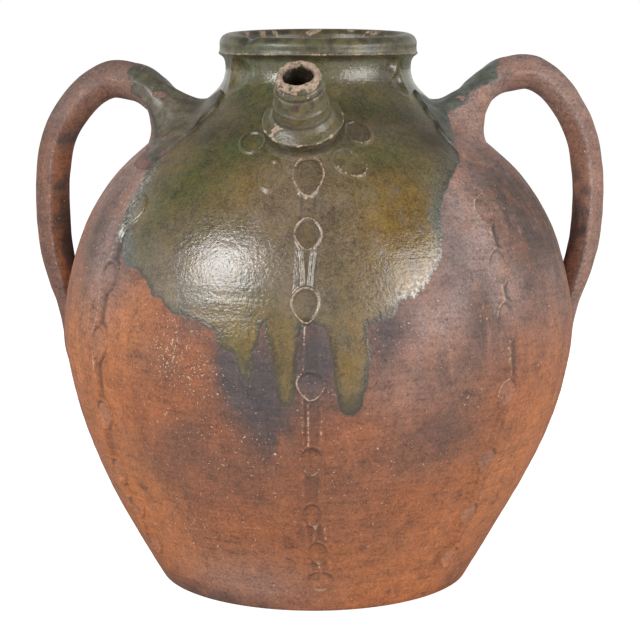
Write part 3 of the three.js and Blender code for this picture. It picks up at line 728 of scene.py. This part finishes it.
def handle_mesh(side, rise, out, thinning, tuck, smeared):
    """A strap on one side of the jar: rings from the middle of its root to the end of its tail."""
    stations = curve(HANDLE_STATIONS, HANDLE_STEPS)
    reach = stations[:, 0] + out * ease(*OUT_OVER, stations[:, 1])
    height = stations[:, 1] + rise * ease(*RISE_OVER, stations[:, 1])
    turn = np.linspace(0, 2 * math.pi, HANDLE_SIDES + 1)
    forwards = np.sin(turn)
    outwards = np.cos(turn) * (1 - RIDGE * forwards ** 4)
    off_top = np.degrees(np.abs((turn + math.pi) % (2 * math.pi) - math.pi))
    ledge = ease(*LEDGE_RISE, off_top) * ease(*LEDGE_FALL, off_top)
    ragged = [1 + RAGGED * noise.noise((3 * math.cos(t), 3 * math.sin(t), 3.7 * side)) for t in turn]
    front, back, smeared = (
        np.interp(off_top, ROOT_BEARINGS, reaches) for reaches in (FRONT_REACHES, BACK_REACHES, smeared)
    )
    core = ragged * np.where(forwards > 0, front, back)
    smear = np.maximum(core, ragged * np.where(forwards > 0, smeared, 0))

    def on_wall(spread, stand):
        """A ring that lies round the root on the wall and stands off it."""
        z = height_at(run_at(ROOT_HEIGHT) + spread * np.cos(turn))
        angle = side * (math.pi / 2 - spread * np.sin(turn) / radius_at(z))
        return wall(angle, z, stand)

    def off_wall(ring):
        """The same ring, pushed out where it would dip into the wall."""
        z = ring[:, 2]
        middle = np.column_stack([lean(z), 0 * z])
        arm = ring[:, :2] - middle
        least = radius_at(z) + CLEAR_LEDGE * ledge - CLEAR_SUNK
        arm *= np.maximum(1, least / np.linalg.norm(arm, axis=1))[:, None]
        return np.column_stack([arm + middle, z])

    def strap_ring(i):
        """The ring at one station of the strap, and the strap's direction there."""
        along = np.gradient(np.column_stack([reach, height]), axis=0)[i]
        along /= np.linalg.norm(along)
        thick, wide = stations[i, 2] * thinning / 2, stations[i, 3] / 2
        z = height[i] + along[0] * thick * outwards
        return np.column_stack([
            side * (reach[i] - along[1] * thick * outwards) + lean(z), -wide * forwards, z,
        ]), np.array([side * along[0], 0, along[1]])

    edge = (ROOT_EDGE + EDGE_SUNK) * ledge - EDGE_SUNK
    rings = [on_wall(share * smear, -BURIED_DEPTH) for share in BURIED_SHARES]
    for share in np.linspace(0, 1, SMEAR_ROWS, endpoint=False):
        rings.append(on_wall(smear + share * (core - smear), edge + SMEAR_RISE * share * ledge))
    start = on_wall(core, edge + SMEAR_RISE * ledge)
    start_inner = on_wall((1 - SLOPE_SHARE) * core, edge + SLOPE_RISE + SLOPE_LEDGE * ledge)
    first, first_along = strap_ring(0)
    inwards = (start_inner - start) / SLOPE_SHARE
    inwards *= np.minimum(1, LONGEST_PULL / np.linalg.norm(inwards, axis=1))[:, None]
    inwards *= (1.2 + 0.35 * outwards + 0.65 * outwards ** 2)[:, None]
    pull = (TOP_PULL + tuck) / 2 + (TOP_PULL - tuck) / 2 * outwards
    for t in np.linspace(0, 1, ROOT_ROWS, endpoint=False):
        ring = (2 * t ** 3 - 3 * t ** 2 + 1) * start + (t ** 3 - 2 * t ** 2 + t) * inwards
        ring += (3 * t ** 2 - 2 * t ** 3) * first + (t ** 3 - t ** 2) * pull[:, None] * first_along
        rings.append(off_wall(ring) if t else start)
    rings += [strap_ring(i)[0] for i in range(len(stations))]
    rings.append(np.repeat(rings[-1].mean(0)[None], len(turn), 0))
    bm = bmesh.new()
    bmesh.ops.create_grid(bm, x_segments=HANDLE_SIDES, y_segments=len(rings) - 1, size=1)
    rows = [round((v.co.y + 1) / 2 * (len(rings) - 1)) for v in bm.verts]
    columns = [round((v.co.x + 1) / 2 * HANDLE_SIDES) for v in bm.verts]
    place(bm, [rings[row][column] for row, column in zip(rows, columns)])
    from_wall = np.array(rows) - len(BURIED_SHARES)
    return bm, outwards[columns], from_wall, ledge[columns]


# Each strap: side, rise, reach, thinning, pull under its root, and smear of the root by bearing; how far its
# glaze runs along the top, down the flank and round the underside; its grey-green border, grey bloom, blush
# inside and smoke all over; and dark patches on its inner face by height and half height, partly soot and
# partly painted shade between strap and jar.
HANDLES = [
    ("left_handle", (-1, 0, 0, 1, 36, [20, 44, 58, 63, 74, 90, 106, 66, 42, 27]), (140, 112, -0.5),
     (0.4, 0.2, 0.6, 0.65), [(350, 12), (312, 8), (270, 34)]),
    ("right_handle", (1, 5.8, 3.4, 0.92, 56, [20, 47, 49, 63, 95, 110, 96, 66, 42, 27]), (141, 102, 0),
     (0.9, 0.6, 0.3, 0.3), [(285, 34)]),
]
# Lumps on the straps, deeper on the root.
STRAP_LUMP_SIZE, STRAP_LUMP_DEPTH, ROOT_LUMP_DEPTH, ROOT_LUMPY = 12, 0.4, 0.7, (150, 120)
DRIFT_SIZE, BARE_SIZE = 14, 8
# The glaze is thin, wavers, is bare in patches beyond the root, and ends below it.
GLAZE_WAVER, GLAZE_FULL, GLAZE_ROUND = 5, 7, 26
BARE_DEPTH, BARE_OUT = 30, (100, 118)
GLAZE_DROP, GLAZE_END = 40, (340, 300)
# Distances from the axis and heights between which colours change.
BLUSH_OUT, BLUSH_UP, SOOT_AND_SHADE_OUT = (138, 160), (350, 380), (135, 155)
ROOT_SMOKE_UP, ROOT_SMOKE_OUT = (352, 336), (165, 150)
BLOOM_UP, BLOOM_OUT = (330, 370), (165, 145)
RIDGE_WIDTH, RIDGE_WORN_OUT = 0.1, (130, 160)
for name, shape, (glaze_reach, glaze_flank, glaze_under), (teal, bloom, inner_blush, soiled), soot_and_shade in HANDLES:
    bm, facing, from_wall, ledge = handle_mesh(*shape)
    points = coords(bm)
    x, y, z = points.T
    reach = np.abs(x)
    drift = ripple(points, DRIFT_SIZE)
    bare = ripple(points, BARE_SIZE)
    lumps = ripple(points, STRAP_LUMP_SIZE, noise.noise_vector)
    place(bm, points + lumps * (STRAP_LUMP_DEPTH + ROOT_LUMP_DEPTH * ease(*ROOT_LUMPY, reach))[:, None])
    under = GLAZE_ROUND * (facing + 0.2 * drift - glaze_under)
    glaze = np.minimum(glaze_reach + GLAZE_WAVER * drift - reach, under)
    glaze = np.maximum(glaze, glaze_flank + GLAZE_WAVER * drift - reach)
    glaze -= BARE_DEPTH * ease(0.4, 0.55, bare) * ease(*BARE_OUT, reach)
    glaze = np.minimum(glaze, GLAZE_FULL) - GLAZE_DROP * ease(*GLAZE_END, z)
    blush = ease(0.15, -0.35, facing) * ease(*BLUSH_OUT, reach) * (1 - 0.5 * ease(*BLUSH_UP, z))
    blush *= inner_blush
    # Dark patches on the inner face are partly soot and partly painted shade where the strap faces the jar.
    smoke = np.zeros(len(z))
    for height, half_height in soot_and_shade:
        smoke = np.maximum(smoke, bell(z, height, half_height))
    smoke = 1.4 * smoke * ease(-0.1, -0.7, facing + 0.8 * drift) * ease(*SOOT_AND_SHADE_OUT, reach)
    smoke = np.clip(np.maximum(smoke, soiled * (0.6 + 0.4 * ease(-0.3, 0.3, facing))), 0, 1)
    smoke = np.maximum(smoke, 0.6 * ease(*ROOT_SMOKE_UP, z) * ease(*ROOT_SMOKE_OUT, reach))
    # The front ridge is rubbed pale and lightened with grey bloom as a painted highlight.
    ridge = bell(facing, 0, RIDGE_WIDTH) * ease(0, -10, y)
    root_bloom = 0.8 * np.maximum(ease(*BLOOM_UP, z), ease(*BLOOM_OUT, reach))
    bloom_and_highlight = np.clip(bloom + 0.5 * ridge, root_bloom, 1)
    # Painted shade where the root's ledge meets the wall; real dirt mottles the glazed root.
    shade_and_dirt = 0.8 * ledge * bell(from_wall, 0, 0.8) * ease(-0.3, 0.3, drift)
    shade_and_dirt = np.maximum(shade_and_dirt, 0.45 * ease(-0.35, 0.35, bare) * ease(0, 4, glaze))
    finish(
        bm, glaze, [smoke, blush, bloom_and_highlight * (1 - blush)], wear_and_highlight=0.24 * ridge * ease(*RIDGE_WORN_OUT, reach),
        grime_and_shade=shade_and_dirt, marks=(teal, 0, 0), matt=0.6,
    )
    sew(bm)
    handle = to_object(bm, name + "_strap", earthenware)
    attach(handle, "root")
    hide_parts(name)


# Strips: rolls of clay laid down the jar and pressed on with the thumb, to bind the stages of the wall.
# Each press left a cup with a thin raised rim, and between presses the roll was drawn into ridges.
# Rims and ridges stand proud, so the glaze has worn off them to pale clay; their lit sides also carry painted
# highlight.
# Channels, cracks and cups are darkened as painted shade.
STRIP_STEP, FRONT_STEP = 0.9, 0.62
STRIP_HALF, STRIP_SPREAD, STRIP_WAVER = 18, 16, 1.6
STRIP_CROWN, SIDE_CROWN = 1.3, 2.4
STRIP_ABOVE, STRIP_FOOT = 24, 8
# A strip reaches its full height over these lengths.
TOP_GAP, TOP_TAPER, FOOT_TAPER = 2, 20, 14
# The side strips stand higher, and have cracked away from the wall along one edge.
CRACKED = ("left_strip", "right_strip")
# Presses from the top down: angle from the front, height, width and length.
PRESSES = {
    "front_strip": [
        (-2.9, 328, 21, 36), (-2.4, 290, 18, 22), (-2.8, 243, 18.6, 23), (-1.6, 188, 18.6, 19.5),
        (-1.5, 132, 15.5, 22), (-1, 88.5, 13, 20), (0.9, 56, 13.2, 20), (1.8, 30, 19.3, 19),
    ],
    "right_strip": [
        (44, 300, 17, 22), (42.5, 262, 19, 26), (42.6, 224, 18, 28), (43.6, 171, 19, 24), (42, 121, 17, 20),
        (43.5, 76, 17, 20), (44.5, 38, 18, 19),
    ],
    "left_strip": [
        (-51, 299, 18, 24), (-52.5, 252, 19, 23), (-53.4, 203.5, 20, 26), (-55.2, 149, 20, 22),
        (-57, 103, 18, 21), (-55.5, 74, 17, 18), (-56.6, 43, 18, 19),
    ],
    "back_right_strip": [
        (132, 305, 18, 23), (132.4, 260, 17, 22), (132, 211, 18, 23), (133, 160, 16, 21),
        (133.4, 112, 15, 20), (133, 70, 15, 20), (134, 36, 17, 19),
    ],
    "back_strip": [
        (178, 318, 19, 26), (178.4, 274, 18, 22), (178, 226, 18, 23), (179, 174, 17, 20),
        (179.6, 122, 16, 22), (179, 80, 14, 20), (180, 42, 17, 20),
    ],
    "back_left_strip": [
        (-130, 302, 18, 22), (-130.6, 256, 17, 23), (-131, 206, 18, 22), (-131, 156, 17, 20),
        (-132, 108, 15, 21), (-132.6, 66, 14, 20), (-133, 35, 17, 19),
    ],
}
# Ridges between two presses, or grooves below 0: offset at top and bottom, half width and height.
PLAIN_RIDGES = [(-5, -5, 2.8, 1.3), (5, 5, 2.8, 1.2)]
CRACKED_RIDGES = [(-3, -2.4, 3.4, 1.6), (3.2, 3.2, 3.4, -1)]
FRONT_RIDGES = [
    [(-8, -7, 3.4, -0.8), (0, 0, 4.6, 1), (8, 7, 3.4, -0.8)],
    [(-3.9, -1.5, 1.3, 0.8), (4.3, 3.1, 1.7, 1)],
    [(-1, -4.5, 1.6, 1.2)],
    [(-6.4, -6.4, 2, 1.1), (-2.3, -2.6, 1.5, 0.9), (6.7, 6.7, 2.2, 1)],
    [(-6.4, -6, 2.2, 1), (6.7, 6, 2.2, 0.9)],
    [(1.5, -2.5, 1.5, 0.9), (-7, -6, 2.2, 1), (7, 6.5, 2.2, 0.8)],
    [(0, 0.5, 1.5, 0.9), (-7, -7, 2.2, 0.9), (7.5, 8, 2.2, 0.8)],
]
# A cup narrows downwards, and its thin floor rises to its edge. Rim and crack: height, place and width.
CUP_NARROWING, CUP_FLOOR, CUP_RISE = 0.3, 0.15, 0.4
FLAT_ABOVE, FLAT_BELOW = 0.84, 0.74
RIM_LIFT, RIM_AT, RIM_WIDTH = 1.15, 1.06, 0.085
CRACK_DEPTH, CRACK_AT, CRACK_WIDTH = 0.8, 1.3, 0.08
# Upper presses get painted shade in their cups; lower ones on plain strips are soft dents with painted shade
# all round.
UPPER_PRESS, LOWER_PRESS = 230, 150
# Place and width of the shadow inside a rim, and its least strength.
SHADOW, LOW_SHADOW = (0.87, 0.08, 0), (0.92, 0.17, 0.4)
# Heights between which the cracked strips turn from soft to sharp.
SHARPER, RIM_SHARPER = (100, 210), (90, 180)
for number, (name, presses) in enumerate(PRESSES.items()):
    step = FRONT_STEP if name == "front_strip" else STRIP_STEP
    press_angles, press_heights = np.array(presses, float)[:, :2].T
    top, foot = run_at(press_heights[0]) + STRIP_ABOVE, run_at(STRIP_FOOT)
    bm = slab(round(2 * STRIP_HALF / step), round((top - foot) / step))
    flat = np.array([v.co for v in bm.verts])
    run = foot + (flat[:, 1] + 1) / 2 * (top - foot)
    z = height_at(run)
    across = flat[:, 0] * STRIP_HALF
    waver = np.array([noise.noise((number + 0.5 * s, r / 25, 0.5)) for r, s in zip(run, np.sign(across))])
    cracked = name in CRACKED
    crown = SIDE_CROWN if cracked else STRIP_CROWN
    lift = crown * (1 - ease(0.1, 1, np.abs(across) / (STRIP_SPREAD + STRIP_WAVER * waver)))
    rubbed_and_highlit, shade_and_dirt, cupped = (np.zeros(len(z)) for _ in range(3))
    ridges = [CRACKED_RIDGES if cracked else PLAIN_RIDGES] * (len(presses) - 1)
    if name == "front_strip":
        ridges = FRONT_RIDGES
    for upper, lower, between in zip(presses, presses[1:], ridges):
        start, end = run_at(upper[1]) - upper[3] / 2, run_at(lower[1]) + lower[3] / 2
        share = (start - run) / (start - end)
        within = ease(-0.15, 0.08, share) * ease(1.15, 0.92, share)
        shade = (0 if cracked else 0.35) * within * ease(9, 5, np.abs(across))
        for offset, end_offset, half_width, height in between:
            off = (across - offset - (end_offset - offset) * share - waver) / half_width
            crest = np.clip(1 - off ** 2, 0, 1)
            lift += height * within * crest
            if height < 0:
                dark = 0.65 * ease(-0.9, -0.1, waver) * (0.3 + 0.7 * ease(100, 200, z)) if cracked else 0.5
                shade = np.maximum(shade, dark * within * crest)
                continue
            shade *= 1 - crest
            bright = 0.3 * ease(*SHARPER, z) if cracked else 0.5 / max(1.5, half_width)
            rubbed_and_highlit = np.maximum(rubbed_and_highlit, bright * within * ease(0.4, 1, crest))
        shade_and_dirt = np.maximum(shade_and_dirt, shade)
    lift *= ease(top - TOP_GAP, top - TOP_TAPER, run) * ease(foot, foot + FOOT_TAPER, run)
    lift -= SUNK
    for _, height, width, length in presses:
        high, low = height > UPPER_PRESS, height < LOWER_PRESS and not cracked
        up = (run - run_at(height)) / (length / 2)
        side_on = across / ((1 - CUP_NARROWING * ease(0.2, -1.2, up)) * width / 2)
        away = np.hypot(side_on, up)
        cup = 1 - ease(np.where(up > 0, FLAT_ABOVE, FLAT_BELOW), 1, away)
        lift = lift * (1 - cup) + (CUP_FLOOR + CUP_RISE * away ** 2) * cup
        rim = bell(away, RIM_AT, RIM_WIDTH)
        lift += RIM_LIFT * rim
        # Rims are rubbed pale, and the side that faces the light is lighter still as painted highlight.
        if cracked:
            bright = 0.16 + 0.26 * ease(-0.4, 0.4, -side_on) * ease(*RIM_SHARPER, z)
        elif low:
            bright = 0.1 + 0.36 * ease(0.3, 1, -up)
        else:
            bright = 0.5 if high else 0.32 + 0.24 * ease(-0.4, 0.8, -side_on - up)
        rubbed_and_highlit = np.maximum(rubbed_and_highlit * (1 - cup), (bright + 0.14 * waver) * rim)
        shade_and_dirt *= 1 - np.maximum(cup, rim)
        shadow_at, shadow_width, least = LOW_SHADOW if low else SHADOW
        shaded = np.maximum(least, ease(-0.1, 0.6, up))
        shade_and_dirt = np.maximum(shade_and_dirt, 0.6 * bell(away, shadow_at, shadow_width) * shaded)
        # The crack is cut in and painted dark as painted shade.
        if cracked:
            crack = bell(away, CRACK_AT, CRACK_WIDTH) * ease(-0.1, 0.6, side_on)
            shade_and_dirt = np.maximum(shade_and_dirt, crack * (0.2 + 0.6 * ease(*SHARPER, z)))
            lift -= CRACK_DEPTH * crack
        if not low:
            cupped = np.maximum(cupped, 0.25 * cup)
        if high and not cracked:
            shade_and_dirt = np.maximum(shade_and_dirt, 0.25 * cup)
    angle = np.radians(np.interp(-z, -press_heights, press_angles)) + across / radius_at(z)
    place(bm, wall(angle, z, np.where(flat[:, 2] > 0.5, lift, -BACKING)))
    bmesh.ops.recalc_face_normals(bm, faces=bm.faces)
    finish(bm, wear_and_highlight=rubbed_and_highlit, grime_and_shade=shade_and_dirt, veil=cupped)
    strip = to_object(bm, name + "_pressed", earthenware)
    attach(strip, "root")
    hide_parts(name)


# Stage: a plain pale floor, white surroundings, and soft boxes to the left and right of the camera.
# The camera stands a little above the rim and looks down at the belly with a long lens.
CAMERA_DISTANCE, CAMERA_HEIGHT = 1433, 438
CAMERA_PITCH, CAMERA_TURN = math.radians(9.4), math.radians(0.182)
CAMERA_LENS, SENSOR_WIDTH = 102.66, 36
# Soft boxes, two strong and two weak: bearing and elevation in degrees, watts and side in metres.
BOXES = [(-45, 26.5, 20.5, 0.74), (50, 17, 20.5, 1.15), (60, 3, 1.8, 0.78), (-65, 3, 1.5, 0.78)]
# Their distance from the point they face, and its height, in metres.
BOX_DISTANCE, BOX_AIM_HEIGHT = 1.9, 0.25
# Light of the surroundings on the jar; the ceiling, seen in reflections, dims between these slopes.
AMBIENT = 0.32
CEILING, CEILING_FROM, CEILING_TO = 0.2, 0.25, 0.65
# Half the floor's side in metres, and the glow that whitens it.
FLOOR_SIZE, FLOOR_GLOW = 30, 0.76

bm = bmesh.new()
bmesh.ops.create_grid(bm, x_segments=1, y_segments=1, size=FLOOR_SIZE)
# White painted board, matt; it glows for the camera alone.
floor_paint = bpy.data.materials.new("white_painted_board")
floor_paint.use_nodes = True
tree = floor_paint.node_tree
tree.nodes.clear()
seen = add(tree, "LightPath", {})["Is Camera Ray"]
board = add(tree, "BsdfDiffuse", {"Color": paint("#f4f3f1")})[0]
strength = add(tree, "MapRange", {0: seen, 3: 0.0, 4: FLOOR_GLOW})[0]
glow = add(tree, "Emission", {"Strength": strength})[0]
both = add(tree, "AddShader", {0: board, 1: glow})[0]
add(tree, "OutputMaterial", {0: both})
floor = to_object(bm, "floor", floor_paint)

world = bpy.data.worlds.new("white_studio")
bpy.context.scene.world = world
world.use_nodes = True
tree = world.node_tree
tree.nodes.clear()
path = add(tree, "LightPath", {})
seen = path["Is Camera Ray"]
for kind in ("Is Glossy Ray", "Is Transmission Ray"):
    seen = add(tree, "Math", {0: seen, 1: path[kind]}, operation="MAXIMUM")[0]
up = add(tree, "SeparateXYZ", {0: add(tree, "TexCoord", {})["Generated"]})["Z"]
backdrop = add(tree, "MapRange", {0: up, 1: CEILING_FROM, 2: CEILING_TO, 3: 1.0, 4: CEILING})[0]
strength = add(tree, "MapRange", {0: seen, 3: AMBIENT, 4: backdrop})[0]
back = add(tree, "Background", {"Color": (1, 1, 1, 1), "Strength": strength})[0]
add(tree, "OutputWorld", {0: back})

for bearing, elevation, power, side in BOXES:
    lamp = bpy.data.lights.new("soft_box", "AREA")
    lamp.shape, lamp.size, lamp.energy = "SQUARE", side, power
    box = linked("soft_box", lamp)
    turn, rise = math.radians(bearing), math.radians(elevation)
    aim = Vector((math.sin(turn) * math.cos(rise), -math.cos(turn) * math.cos(rise), math.sin(rise)))
    box.location = aim * BOX_DISTANCE + Vector((0, 0, BOX_AIM_HEIGHT))
    box.rotation_euler = aim.to_track_quat("Z", "Y").to_euler()

lens = bpy.data.cameras.new("camera")
lens.lens, lens.sensor_width = CAMERA_LENS, SENSOR_WIDTH
camera = linked("camera", lens)
camera.location = (0, -CAMERA_DISTANCE * MM, CAMERA_HEIGHT * MM)
camera.rotation_euler = (math.pi / 2 - CAMERA_PITCH, 0, -CAMERA_TURN)
bpy.context.scene.camera = camera
bpy.context.scene.view_settings.view_transform = "Standard"
